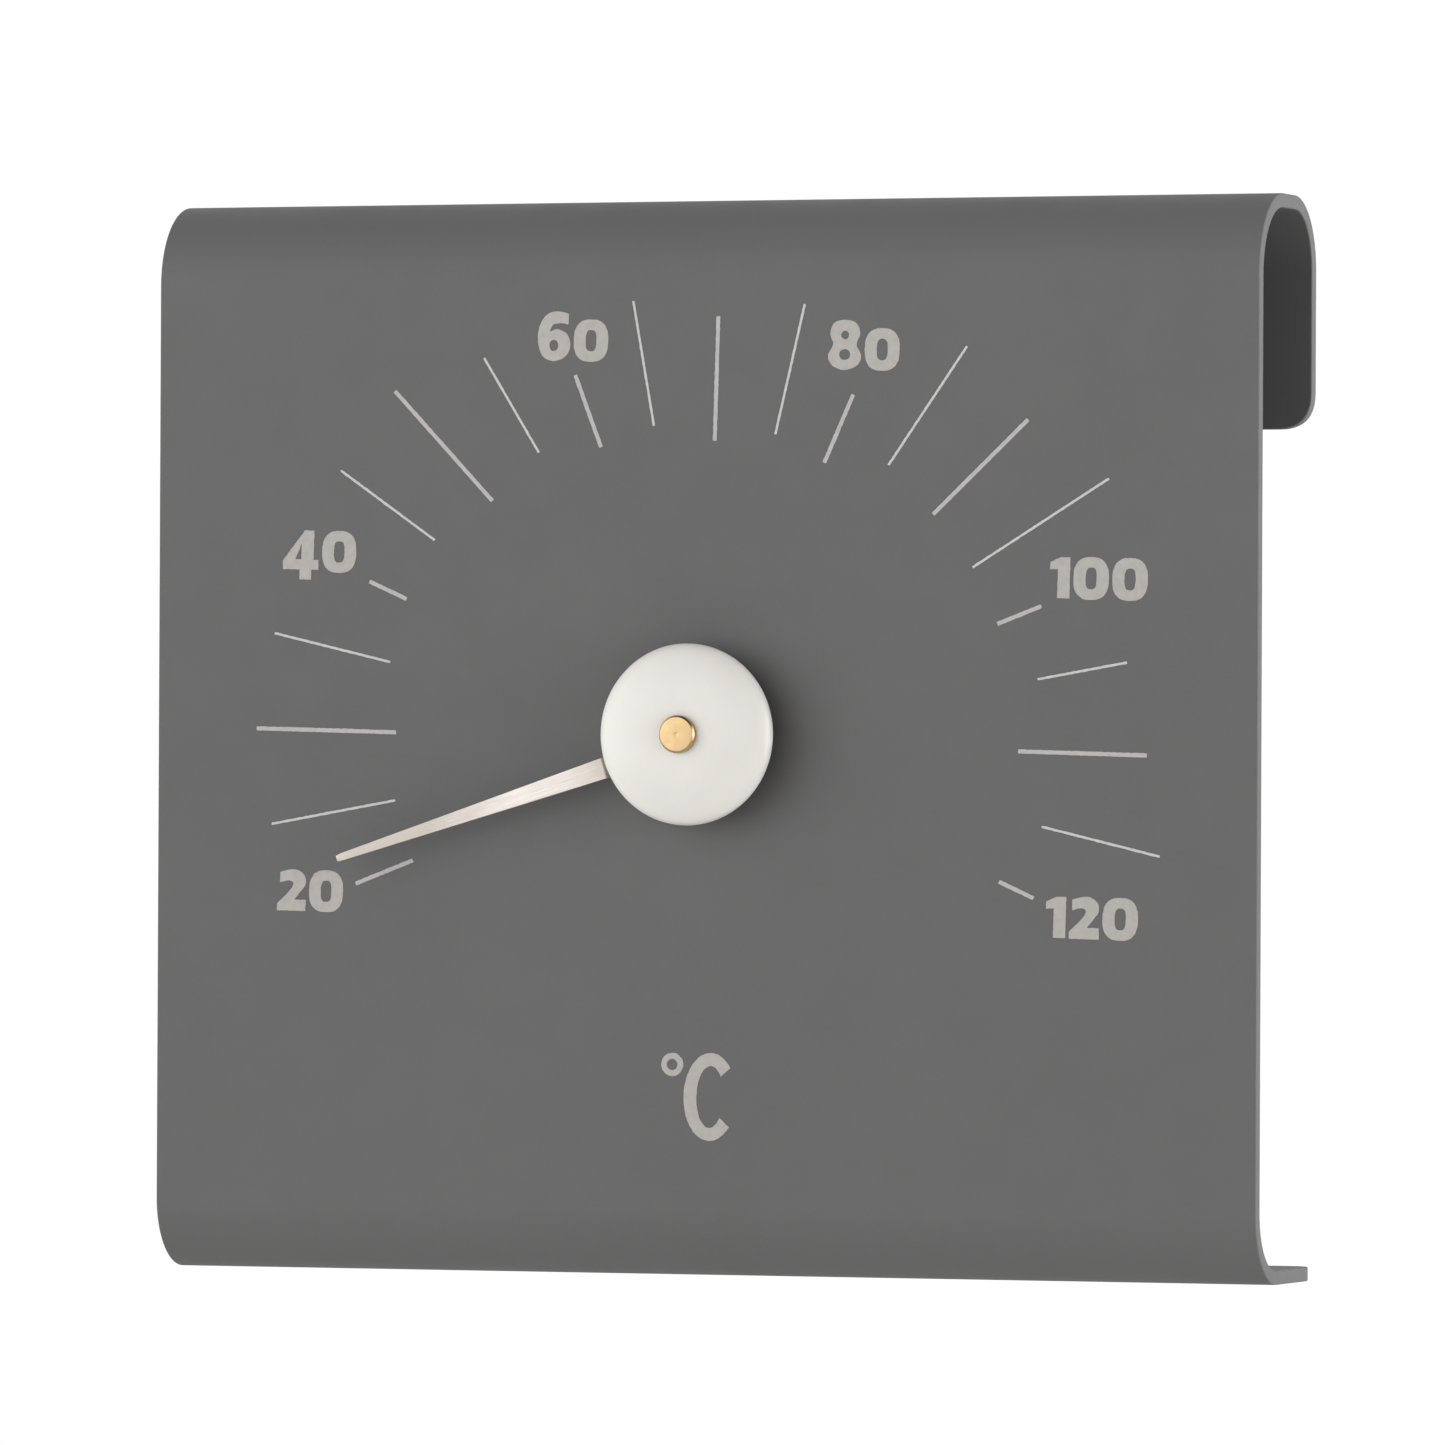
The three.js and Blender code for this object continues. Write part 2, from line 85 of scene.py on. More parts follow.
FRONT_WASHER, BUSH_FLANGE, REAR_WASHER, LOCK_WASHER = 0.5, 0.8, 0.8, 0.6    # thickness of each
FRONT_RADIUS, FLANGE_RADIUS, REAR_RADIUS, LOCK_RADIUS = 7.0, 6.0, 8.0, 6.8  # their outer radii
LOCK_TEETH, LOCK_TOOTH_ROOT, LOCK_GAP = 10, 5.2, 0.6
NUT_HEIGHT, NUT_FLATS, NUT_CHAMFER = 3.2, 13.0, 0.6
NUT_BORE_CHAMFER, NUT_BORE_SLOPE = 0.5, 0.8 # depth of the chamfer at each end of the bore, and its slope
PLAY = 0.1                      # free space beside what turns behind the bush
WAVE_WASHER, WAVE_SHEET, WAVES, TAIL_WASHER, TAIL_RING_RADIUS = 0.7, 0.2, 3, 0.4, 3.4
CLIP_RADIUS, CLIP_MOUTH = 3.2, 0.9          # the mouth is half of the open side, in radians

COIL_STRIP, COIL_BACK, COIL_FRONT = 0.25, 2.1, 4.4
COIL_TURNS, COIL_PITCH, COIL_OUTER, COIL_PAST_TAB = 7, 1.2, 12.2, 13.0
COIL_SEGMENTS = 96              # for each turn
COIL_TAIL_INSIDE, COIL_TAIL_OFFSET = 2.4, -0.35
COIL_PIN_OFFSET, COIL_PIN_RADIUS = 0.4, 0.3
ARBOR_RADIUS, ARBOR_BACK, ARBOR_FRONT = 3.3, 1.4, 6.0
ARBOR_SLOT_INSIDE, ARBOR_SLOT_WIDTH = 2.2, 1.7

POINTER_ANGLE = 197.8           # degrees, counter-clockwise from +X as seen from the front
POINTER_OFFSET, POINTER_TIP, POINTER_SHEET, POINTER_FACE = 0.7, 55.0, 0.5, 4.6
POINTER_ROOT_WIDTH, POINTER_TIP_WIDTH = 3.0, 1.1
TAB_INSIDE, TAB_BACK, TAB_BEND = 12.5, 2.1, 0.9
RIVET_RADIUS, RIVET_HEAD, RIVET_HEAD_HEIGHT = 0.35, 0.7, 0.25
RIVET_SPACING, RIVET_PLAY, RIVET_GRIP = 1.5, 0.05, 0.625

INK = 0.03                      # how far the print stands off the coat
PRINT_X, PRINT_Z = 1.02, -0.60  # the scale's centre, from the panel's middle
PRINT_TURN = -1.53              # degrees; the print sits slightly clockwise
SCALE_STEP = 11.262             # degrees between marks 5 units apart
SCALE_MIDDLE = 70               # the mark at the top

# ---------- places from the frame ----------

panel_low, panel_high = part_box("panel")
cap_low, cap_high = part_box("cap")
FRONT_Y = panel_low.y
HUB = Vector(((cap_low.x + cap_high.x) / 2, FRONT_Y, (cap_low.z + cap_high.z) / 2))
MIDDLE_Z = (panel_low.z + panel_high.z) / 2
WIDTH = (panel_high.x - panel_low.x) / MM
HEIGHT = (panel_high.z - panel_low.z) / MM
DEPTH = (panel_high.y - panel_low.y) / MM

# ---------- node materials ----------


def new_material(name):
    material = bpy.data.materials.new(name)
    material.use_nodes = True
    tree = material.node_tree
    return material, tree, tree.nodes["Principled BSDF"]


def node(tree, kind, inputs=(), **settings):
    made = tree.nodes.new(kind)
    for key, value in settings.items():
        setattr(made, key, value)
    for key, value in dict(inputs).items():
        if isinstance(value, bpy.types.NodeSocket):
            tree.links.new(value, made.inputs[key])
        else:
            made.inputs[key].default_value = value
    return made


def place_in(tree, stretch=(1, 1, 1)):
    """The piece's own coordinates in millimetres, stretched to make a grain."""
    coordinates = node(tree, "ShaderNodeTexCoord")
    inputs = {"Vector": coordinates.outputs["Object"], "Scale": [s / MM for s in stretch]}
    return node(tree, "ShaderNodeMapping", inputs).outputs[0]


def noise_of(tree, vector, size, detail=3, rough=0.55):
    """Noise from about 0.3 to 0.7, with features of that size in millimetres."""
    inputs = {"Vector": vector, "Scale": 1 / size, "Detail": detail, "Roughness": rough}
    return node(tree, "ShaderNodeTexNoise", inputs).outputs["Fac"]


def ranged(tree, value, low, high, a=0.3, b=0.7):
    inputs = {"Value": value, "From Min": a, "From Max": b, "To Min": low, "To Max": high}
    return node(tree, "ShaderNodeMapRange", inputs).outputs[0]


def calculated(tree, operation, *values):
    return node(tree, "ShaderNodeMath", enumerate(values), operation=operation).outputs[0]


def mixed(tree, factor, a, b):
    made = node(tree, "ShaderNodeMix", data_type="RGBA")
    for index, value in ((0, factor), (6, a), (7, b)):
        if isinstance(value, bpy.types.NodeSocket):
            tree.links.new(value, made.inputs[index])
        elif index == 0:
            made.inputs[0].default_value = value
        else:
            made.inputs[index].default_value = (*value, 1)
    return made.outputs[2]


def bump(tree, shader, height, depth):
    """Relief of that depth in millimetres."""
    made = node(tree, "ShaderNodeBump", {"Height": height, "Strength": 1.0, "Distance": depth * MM})
    tree.links.new(made.outputs[0], shader.inputs["Normal"])


def link(tree, socket, shader, name):
    tree.links.new(socket, shader.inputs[name])


def tint(colour, factor):
    return tuple(c * factor for c in colour)


def powder_coat():
    material, tree, shader = new_material("powder_coat")
    place = place_in(tree)
    grey = (0.1462, 0.1442, 0.1438)
    cloud = ranged(tree, noise_of(tree, place, 34, 4), 0, 1)
    fleck = ranged(tree, noise_of(tree, place, 0.5, 2), 0, 1)
    colour = mixed(tree, cloud, tint(grey, 0.975), tint(grey, 1.025))
    colour = mixed(tree, ranged(tree, fleck, 0, 0.5, 0, 1), colour, tint(grey, 1.06))
    link(tree, colour, shader, "Base Color")
    link(tree, ranged(tree, noise_of(tree, place, 6, 3), 0.56, 0.66), shader, "Roughness")
    shader.inputs["Specular IOR Level"].default_value = 0.35
    fine = noise_of(tree, place, 0.32, 3, 0.6)
    wave = noise_of(tree, place, 2.4, 1)
    bump(tree, shader, calculated(tree, "ADD", fine, wave), 0.012)
    return material


def printed_ink(name, colour):
    material, tree, shader = new_material(name)
    place = place_in(tree)
    colour = mixed(tree, ranged(tree, noise_of(tree, place, 1.1, 4, 0.65), 0, 1), tint(colour, 0.86), colour)
    link(tree, colour, shader, "Base Color")
    link(tree, ranged(tree, noise_of(tree, place, 3, 2), 0.50, 0.62), shader, "Roughness")
    shader.inputs["Specular IOR Level"].default_value = 0.3
    bump(tree, shader, noise_of(tree, place, 0.25, 3), 0.008)
    return material


def white_plastic():
    material, tree, shader = new_material("white_plastic")
    place = place_in(tree)
    colour = mixed(tree, ranged(tree, noise_of(tree, place, 7, 3), 0, 1),
                   (0.895, 0.866, 0.806), (0.925, 0.896, 0.836))
    link(tree, colour, shader, "Base Color")
    link(tree, ranged(tree, noise_of(tree, place, 2.5, 4), 0.30, 0.42), shader, "Roughness")
    shader.inputs["Specular IOR Level"].default_value = 0.7
    shader.inputs["Subsurface Weight"].default_value = 0.6
    shader.inputs["Subsurface Radius"].default_value = (1.0, 0.9, 0.75)
    shader.inputs["Subsurface Scale"].default_value = 2.0 * MM
    bump(tree, shader, noise_of(tree, place, 0.6, 3), 0.004)
    return material


def turned_metal(name, colour, roughness, marks=0.006):
    """Metal with the lathe's fine rings about the piece's own Y axis."""
    material, tree, shader = new_material(name)
    place = place_in(tree)
    split = node(tree, "ShaderNodeSeparateXYZ", {0: place})
    flat = node(tree, "ShaderNodeCombineXYZ", {0: split.outputs[0], 2: split.outputs[2]})
    radius = node(tree, "ShaderNodeVectorMath", {0: flat.outputs[0]}, operation="LENGTH").outputs["Value"]
    rings = node(tree, "ShaderNodeCombineXYZ", {0: radius, 1: split.outputs[1]}).outputs[0]
    ring_noise = noise_of(tree, rings, 0.16, 2, 0.5)
    shade = mixed(tree, ranged(tree, noise_of(tree, place, 1.6, 3), 0, 1), tint(colour, 0.96), colour)
    shade = mixed(tree, ranged(tree, ring_noise, 0, 0.30), shade, tint(colour, 0.88))
    link(tree, shade, shader, "Base Color")
    shader.inputs["Metallic"].default_value = 1.0
    clouds = noise_of(tree, place, 0.9, 3)
    link(tree, ranged(tree, clouds, roughness * 0.85, roughness * 1.2), shader, "Roughness")
    bump(tree, shader, ring_noise, marks)
    return material


def drawn_metal(name, colour, roughness, painted_sheen_at=None):
    """Metal with a fine grain along the piece's own X axis, and with a painted reflection: brighter about the
    given place along X and darker away from it.
    """
    material, tree, shader = new_material(name)
    place = place_in(tree)
    streaks = noise_of(tree, place_in(tree, (0.04, 1, 1)), 0.18, 4, 0.6)
    clouds = noise_of(tree, place, 5, 3)
    shade = mixed(tree, ranged(tree, clouds, 0, 1), tint(colour, 0.93), colour)
    if painted_sheen_at:
        # Painted reflection: the colour darkens away from the given place along X, standing in for light that
        # the blade reflects.
        along = node(tree, "ShaderNodeSeparateXYZ", {0: place}).outputs["X"]
        away = calculated(tree, "ABSOLUTE", calculated(tree, "SUBTRACT", along, painted_sheen_at))
        away = calculated(tree, "MULTIPLY_ADD", clouds, 12.0, away)
        painted_dim = [c * factor for c, factor in zip(colour, (0.65, 0.62, 0.60))]
        shade = mixed(tree, ranged(tree, away, 0, 1, 9, 20), shade, painted_dim)
    shade = mixed(tree, ranged(tree, streaks, 0, 0.40), shade, tint(colour, 0.86))
    link(tree, shade, shader, "Base Color")
    shader.inputs["Metallic"].default_value = 1.0
    link(tree, ranged(tree, streaks, roughness * 0.8, roughness * 1.35), shader, "Roughness")
    bump(tree, shader, streaks, 0.003)
    return material


def pressed_fibre():
    material, tree, shader = new_material("pressed_fibre")
    place = place_in(tree)
    colour = mixed(tree, ranged(tree, noise_of(tree, place, 0.4, 5, 0.7), 0, 1),
                   (0.16, 0.065, 0.03), (0.34, 0.17, 0.09))
    link(tree, colour, shader, "Base Color")
    link(tree, ranged(tree, noise_of(tree, place, 1, 3), 0.7, 0.9), shader, "Roughness")
    bump(tree, shader, noise_of(tree, place, 0.15, 4, 0.7), 0.03)
    return material


def soft_stage(name, colour):
    material, tree, shader = new_material(name)
    place = place_in(tree)
    shade = mixed(tree, ranged(tree, noise_of(tree, place, 60, 2), 0, 1), tint(colour, 0.99), colour)
    link(tree, shade, shader, "Base Color")
    shader.inputs["Roughness"].default_value = 0.9
    return material


COAT = powder_coat()
FIGURE_INK = printed_ink("figure_ink", (0.562, 0.530, 0.495))
MARK_INK = printed_ink("mark_ink", (0.600, 0.580, 0.557))
FINE_INK = printed_ink("fine_mark_ink", (0.700, 0.698, 0.694))
WHITE = white_plastic()
BRASS = turned_metal("turned_brass", (0.600, 0.425, 0.222), 0.30)
NUT_BRASS = turned_metal("nut_brass", (0.66, 0.475, 0.225), 0.34)
STEEL = turned_metal("bright_steel", (0.58, 0.58, 0.59), 0.33)
BIMETAL = drawn_metal("bimetal_strip", (0.50, 0.46, 0.40), 0.30)
# The pointer's painted reflection is brightest 25 mm out along the blade and darker towards the root and the
# tip.
SILVER = drawn_metal("pointer_silver", (0.605, 0.565, 0.525), 0.30, painted_sheen_at=25)
FIBRE = pressed_fibre()

# ---------- mesh helpers ----------

CORNER_SHARE = 0.45             # most of a side that one rounded corner may take up
SAME_PLACE = 1e-7               # in metres; vertices closer than this are one


def arc(centre, radius, a, b, steps):
    """Points on an arc from a to b degrees."""
    turns = [math.radians(a + (b - a) * i / steps) for i in range(steps + 1)]
    return [(centre[0] + radius * math.cos(t), centre[1] + radius * math.sin(t)) for t in turns]


def rounded(points, radius, steps=3, closed=True):
    """A polygon with its corners rounded; a radius per point, or one for all, less where a side is short."""
    radii = radius if isinstance(radius, list) else [radius] * len(points)
    made = []
    for i, (x, y) in enumerate(points):
        if not closed and i in (0, len(points) - 1):
            made.append((x, y))
            continue
        corner = Vector((x, y))
        before = Vector(points[i - 1]) - corner
        after = Vector(points[(i + 1) % len(points)]) - corner
        half = before.angle(after) / 2
        reach = min(radii[i] / math.tan(half), CORNER_SHARE * before.length, CORNER_SHARE * after.length)
        start, end = corner + before.normalized() * reach, corner + after.normalized() * reach
        for k in range(steps + 1):
            t = k / steps
            point = start * (1 - t) ** 2 + corner * 2 * t * (1 - t) + end * t ** 2
            made.append(tuple(point))
    return made


def finish_mesh(bm, name, material, sharp=40):
    """A smooth-shaded object of this mesh, with creases where faces meet at more than sharp degrees."""
    bmesh.ops.recalc_face_normals(bm, faces=bm.faces)
    mesh = bpy.data.meshes.new(name)
    bm.to_mesh(mesh)
    bm.free()
    mesh.shade_smooth()
    mesh.set_sharp_from_angle(angle=math.radians(sharp))
    mesh.materials.append(material)
    piece = bpy.data.objects.new(name, mesh)
    bpy.context.scene.collection.objects.link(piece)
    return piece


def at_hub(piece, turn=0.0):
    """Puts a piece that was made about the hub in its place, turned counter-clockwise from the front."""
    piece.location = HUB
    piece.rotation_euler = (0, -math.radians(turn), 0)
    return piece


def even_shading(piece):
    """Keeps large flat faces flat beside narrow rounded ones."""
    modifier = piece.modifiers.new("even_shading", "WEIGHTED_NORMAL")
    modifier.keep_sharp = True
    modifier.weight = 80


def join_rings(bm, rings, closed=True):
    """Faces between neighbouring rings of vertices; a ring of one vertex is a pole."""
    for first, second in zip(rings, rings[1:]):
        count = max(len(first), len(second))
        last = count if closed else count - 1
        for i in range(last):
            j = (i + 1) % count
            corners = [first[i % len(first)], first[j % len(first)],
                       second[j % len(second)], second[i % len(second)]]
            unique = list(dict.fromkeys(corners))
            if len(unique) > 2:
                bm.faces.new(unique)


def lathe(name, profile, material, facets=96, edge=0.08, sharp=40):
    """A closed profile of (radius, height) turned about the hub's axis, with its corners broken."""
    on_axis = profile[0][0] == 0
    points = rounded(profile, edge, closed=not on_axis)
    bm = bmesh.new()
    rings = []
    for radius, height in points:
        count = 1 if radius < ON_AXIS else facets
        rings.append([bm.verts.new((radius * MM * math.cos(TAU * i / count), -height * MM,
                                    radius * MM * math.sin(TAU * i / count))) for i in range(count)])
    if not on_axis:
        rings.append(rings[0])
    join_rings(bm, rings)
    return at_hub(finish_mesh(bm, name, material, sharp))


def flat_ring(name, inner, outer, back, front, material, edge=0.08):
    return lathe(name, [(inner, back), (inner, front), (outer, front), (outer, back)], material, edge=edge)


def polar_solid(name, levels, radius_out, radius_in, material, facets, sharp=30):
    """A solid between two radii that depend on (angle, height), its levels running from back to front."""
    bm = bmesh.new()
    angles = [TAU * i / facets for i in range(facets)]

    def ring(radius_at, height):
        radii = [radius_at(t, height) * MM for t in angles]
        return [bm.verts.new((r * math.cos(t), -height * MM, r * math.sin(t))) for r, t in zip(radii, angles)]

    outer = [ring(radius_out, h) for h in levels]
    inner = [ring(radius_in, h) for h in reversed(levels)]
    rings = outer + inner
    join_rings(bm, rings + [rings[0]])
    return at_hub(finish_mesh(bm, name, material, sharp))


def cut_plate(name, outlines, thickness, edge=0.0, curve_steps=2):
    """A plate of closed 2D outlines, holes included, from z = 0 back to -thickness, with rounded rims."""
    curve = bpy.data.curves.new(name, "CURVE")
    curve.dimensions = "2D"
    curve.fill_mode = "BOTH"
    for outline in outlines:
        spline = curve.splines.new("POLY")
        spline.points.add(len(outline) - 1)
        for point, (x, y) in zip(spline.points, outline):
            point.co = (x * MM, y * MM, 0, 1)
        spline.use_cyclic_u = True
    curve.extrude = (thickness / 2 - edge) * MM
    curve.bevel_depth = edge * MM
    curve.bevel_resolution = curve_steps
    curve.offset = -edge * MM
    holder = bpy.data.objects.new(name + "_outline", curve)
    bpy.context.scene.collection.objects.link(holder)
    depsgraph = bpy.context.evaluated_depsgraph_get()
    mesh = bpy.data.meshes.new_from_object(holder.evaluated_get(depsgraph))
    bpy.data.objects.remove(holder)
    bm = bmesh.new()
    bm.from_mesh(mesh)
    bpy.data.meshes.remove(mesh)
    bmesh.ops.remove_doubles(bm, verts=bm.verts, dist=SAME_PLACE)
    bmesh.ops.translate(bm, verts=bm.verts, vec=(0, 0, -thickness / 2 * MM))
    return bm


def circle(x, y, radius, steps=64):
    return arc((x, y), radius, 0, 360 - 360 / steps, steps - 1)


# ---------- panel ----------

FLANGE_FLAT = REAR_DROP - REAR_BEND
FRONT_FLAT = HEIGHT - FRONT_BEND - FOOT_BEND
TOP_FLAT = DEPTH - REAR_BEND - FRONT_BEND
FOOT_FLAT = DEPTH - FOOT_BEND
TOP_Z = panel_high.z / MM
BOTTOM_Z = panel_low.z / MM
WALL_Y = panel_high.y / MM
FRONT_FACE = panel_low.y / MM

# The sheet's stretches from the flange's lower edge round to the foot's rear edge, measured along its
# outer side: (length, bend's centre or start point, first direction in degrees, turn in degrees).
STRETCHES = [
    (FLANGE_FLAT, (WALL_Y, TOP_Z - REAR_DROP), 90, 0),
    (REAR_BEND * math.pi / 2, (WALL_Y, TOP_Z - REAR_BEND), 90, 90),
    (TOP_FLAT, (WALL_Y - REAR_BEND, TOP_Z), 180, 0),
    (FRONT_BEND * math.pi / 2, (FRONT_FACE + FRONT_BEND, TOP_Z), 180, 90),
    (FRONT_FLAT, (FRONT_FACE, TOP_Z - FRONT_BEND), 270, 0),
    (FOOT_BEND * math.pi / 2, (FRONT_FACE, BOTTOM_Z + FOOT_BEND), 270, 90),
    (FOOT_FLAT, (FRONT_FACE + FOOT_BEND, BOTTOM_Z), 360, 0),
]
SHEET_LENGTH = sum(stretch[0] for stretch in STRETCHES)


def on_sheet(s, depth):
    """(y, z) of the point s along the sheet's outer side and depth below it."""
    for length, start, heading, turn in STRETCHES:
        if s <= length or (length, start) == STRETCHES[-1][:2]:
            break
        s -= length
    a = math.radians(heading)
    if turn == 0:
        y, z = start[0] + s * math.cos(a), start[1] + s * math.sin(a)
    else:
        radius = length / math.radians(turn)
        centre = (start[0] - radius * math.sin(a), start[1] + radius * math.cos(a))
        a += s / radius
        y, z = centre[0] + radius * math.sin(a), centre[1] - radius * math.cos(a)
    return y - depth * math.sin(a), z + depth * math.cos(a)


def keyhole(x):
    """Outline of a keyhole whose round part is at the lower end, in blank coordinates."""
    middle = FLANGE_FLAT / 2 - KEYHOLE_DROP
    meet = math.degrees(math.acos(KEYHOLE_SHANK / KEYHOLE_HEAD))
    head = arc((x, middle), KEYHOLE_HEAD, meet, meet - 360 + 2 * (90 - meet), 40)
    end = arc((x, middle + KEYHOLE_RISE), KEYHOLE_SHANK, 180, 0, 16)
    return head + end


def build_panel():
    half = WIDTH / 2
    outline = [(-half, 0), (half, 0), (half, SHEET_LENGTH), (-half, SHEET_LENGTH)]
    outline = rounded(outline, [REAR_CORNER, REAR_CORNER, FOOT_CORNER, FOOT_CORNER], 10)
    hub_s = sum(stretch[0] for stretch in STRETCHES[:4]) + (TOP_Z - FRONT_BEND - HUB.z / MM)
    holes = [keyhole(-KEYHOLE_OFFSET), keyhole(KEYHOLE_OFFSET), circle(HUB.x / MM, hub_s, THREAD_BORE)]
    bm = cut_plate("panel_blank", [outline, *holes], SHEET, EDGE_BREAK, 3)
    s = 0
    for length, _, _, turn in STRETCHES:
        steps = BEND_STEPS if turn else 1
        for k in range(steps):
            cut_at = (s + length * k / steps) * MM
            if cut_at > 0:
                whole = bm.verts[:] + bm.edges[:] + bm.faces[:]
                bmesh.ops.bisect_plane(bm, geom=whole, dist=SAME_PLACE,
                                       plane_co=(0, cut_at, 0), plane_no=(0, 1, 0))
        s += length
    for vert in bm.verts:
        y, z = on_sheet(vert.co.y / MM, -vert.co.z / MM)
        vert.co = Vector((vert.co.x, y * MM, z * MM))
    panel = finish_mesh(bm, "panel_sheet", COAT, 35)
    even_shading(panel)
    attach(panel, "panel_body")
    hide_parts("panel")


# ---------- print ----------

NUMBER_MARKS = {20: (46.6, 55.8), 40: (48.8, 54.9), 60: (43.8, 54.6), 80: (42.2, 52.5), 100: (45.5, 52.3),
                120: (47.0, 52.5)}
TEN_MARKS = {30: (46.1, 67.1), 50: (46.2, 67.5), 70: (41.7, 59.0), 90: (45.6, 64.5), 110: (45.6, 64.2)}
FIVE_MARKS = {25: (46.9, 65.8), 35: (48.3, 66.2), 45: (49.2, 66.4), 55: (47.3, 62.9), 65: (44.5, 62.2),
              75: (43.7, 62.2), 85: (46.5, 66.4), 95: (45.7, 68.8), 105: (49.1, 62.2), 115: (50.4, 67.9)}
WIDE_MARK, FINE_MARK = 0.57, 0.34
FIVE_LEAN = 0.46                # degrees that a fine mark leans towards the numbered one beside it
FIGURE_HEIGHT = 5.9             # of a 0, a 1 or a 2
FIGURE_RISE = 1.05              # how far a 6 or an 8 stands above them, and a 4 hangs below


def mark_angle(value):
    angle = 90 - (value - SCALE_MIDDLE) / 5 * SCALE_STEP
    if value % 10:
        angle += FIVE_LEAN if value % 20 == 5 else -FIVE_LEAN
    return angle


def mark_outline(value, inner, outer, width):
    angle = math.radians(mark_angle(value))
    along = Vector((math.cos(angle), math.sin(angle)))
    side = Vector((-along.y, along.x)) * width / 2
    corners = [along * inner - side, along * outer - side, along * outer + side, along * inner + side]
    return rounded([tuple(c) for c in corners], 0.08, 2)


def superellipse(x, y, half_width, half_height, power, steps=56):
    """A squarish oval, as the figures' bowls have."""
    made = []
    for i in range(steps):
        t = TAU * i / steps
        c, s = math.cos(t), math.sin(t)
        made.append((x + half_width * math.copysign(abs(c) ** (2 / power), c),
                     y + half_height * math.copysign(abs(s) ** (2 / power), s)))
    return made


def smooth_line(points, steps=8):
    """A closed outline through points; a third value of 1 makes a sharp corner, 0 a curve."""
    made = []
    count = len(points)
    for i in range(count):
        p0, p1, p2, p3 = (points[(i + k) % count] for k in (-1, 0, 1, 2))
        a, b = Vector(p1[:2]), Vector(p2[:2])
        if p1[2] and p2[2]:
            made.append(tuple(a))
            continue
        tangent_a = (b - a) if p1[2] else (b - Vector(p0[:2])) / 2
        tangent_b = (b - a) if p2[2] else (Vector(p3[:2]) - a) / 2
        for k in range(steps):
            t = k / steps
            point = (a * (2 * t ** 3 - 3 * t ** 2 + 1) + tangent_a * (t ** 3 - 2 * t ** 2 + t)
                     + b * (-2 * t ** 3 + 3 * t ** 2) + tangent_b * (t ** 3 - t ** 2))
            made.append(tuple(point))
    return made


H = FIGURE_HEIGHT
R = FIGURE_RISE

# Each figure gives its width and its outlines, with its lower left corner at (0, 0) on the base line.


def figure_zero():
    outline = superellipse(2.56, H / 2, 2.56, H / 2, 2.55)
    counter = superellipse(2.56, H / 2, 0.80, 1.50, 2.9, 40)
    return 5.12, [outline, counter]


def figure_one():
    return 2.95, [[(1.15, 0.12), (2.93, 0.12), (2.93, H - 0.12), (1.55, H - 0.12), (0.05, H - 0.85),
                   (0.0, 4.05), (1.15, 4.15)]]


def figure_two():
    outline = [(0.0, 0.05, 1), (4.30, 0.05, 1), (4.30, 1.62, 1), (2.55, 1.62, 1), (3.45, 2.75, 0),
               (4.22, 3.85, 0), (4.05, 5.05, 0), (3.15, 5.72, 0), (2.05, 5.88, 0), (0.38, 5.45, 1),
               (0.36, 3.98, 1), (1.55, 4.28, 0), (2.25, 4.12, 0), (2.30, 3.55, 0), (1.55, 2.55, 0),
               (0.0, 1.00, 1)]
    return 4.3, [smooth_line(outline)]


def figure_four():
    outline = [(2.55, -R, 1), (4.30, -R, 1), (4.30, 0.35, 1), (5.35, 0.35, 1), (5.35, 1.75, 1),
               (4.62, 1.75, 1), (4.62, H - 0.05, 1), (3.20, H - 0.05, 1), (0.0, 1.60, 1), (0.0, 0.35, 1),
               (2.55, 0.35, 1)]
    counter = [(1.85, 1.80, 1), (2.76, 1.80, 1), (2.76, 4.00, 1)]
    return 5.4, [smooth_line(outline), smooth_line(counter)]


def figure_six():
    top = H + R
    outline = [(2.42, 0.0, 0), (4.15, 0.70, 0), (4.83, 2.30, 0), (4.25, 3.85, 0), (2.85, 4.45, 0),
               (1.72, 4.10, 1), (2.20, 5.05, 0), (3.30, 5.30, 0), (4.48, 5.12, 1), (4.52, 6.62, 1),
               (3.10, top, 0), (1.35, 6.55, 0), (0.25, 4.95, 0), (0.0, 2.95, 0), (0.68, 0.75, 0)]
    return 4.85, [smooth_line(outline), superellipse(2.38, 2.20, 0.66, 0.78, 2.2, 32)]


def figure_eight():
    top = H + R
    outline = [(2.43, 0.0, 0), (4.20, 0.62, 0), (4.86, 1.95, 0), (4.15, 3.55, 0), (4.62, 5.05, 0),
               (4.02, 6.52, 0), (2.43, top, 0), (0.84, 6.52, 0), (0.24, 5.05, 0), (0.71, 3.55, 0),
               (0.0, 1.95, 0), (0.66, 0.62, 0)]
    lower = superellipse(2.43, 2.15, 0.80, 0.74, 2.1, 32)
    upper = superellipse(2.43, 4.85, 0.58, 0.60, 2.0, 32)
    return 4.86, [smooth_line(outline), lower, upper]


FIGURES = {"0": figure_zero, "1": figure_one, "2": figure_two, "4": figure_four, "6": figure_six,
           "8": figure_eight}
FIGURE_GAP = 0.48

# Lower left corner of each number's first figure, from the scale's centre.
NUMBER_PLACES = {20: (-63.25, -25.62), 40: (-63.88, 22.02), 60: (-26.62, 52.32), 80: (16.25, 51.86),
                 100: (49.42, 20.98), 120: (50.27, -25.62)}


def number_outlines(value):
    x, y = NUMBER_PLACES[value]
    made = []
    for digit in str(value):
        width, outlines = FIGURES[digit]()
        made += [[(x + px, y + py) for px, py in outline] for outline in outlines]
        x += width + FIGURE_GAP
    return made


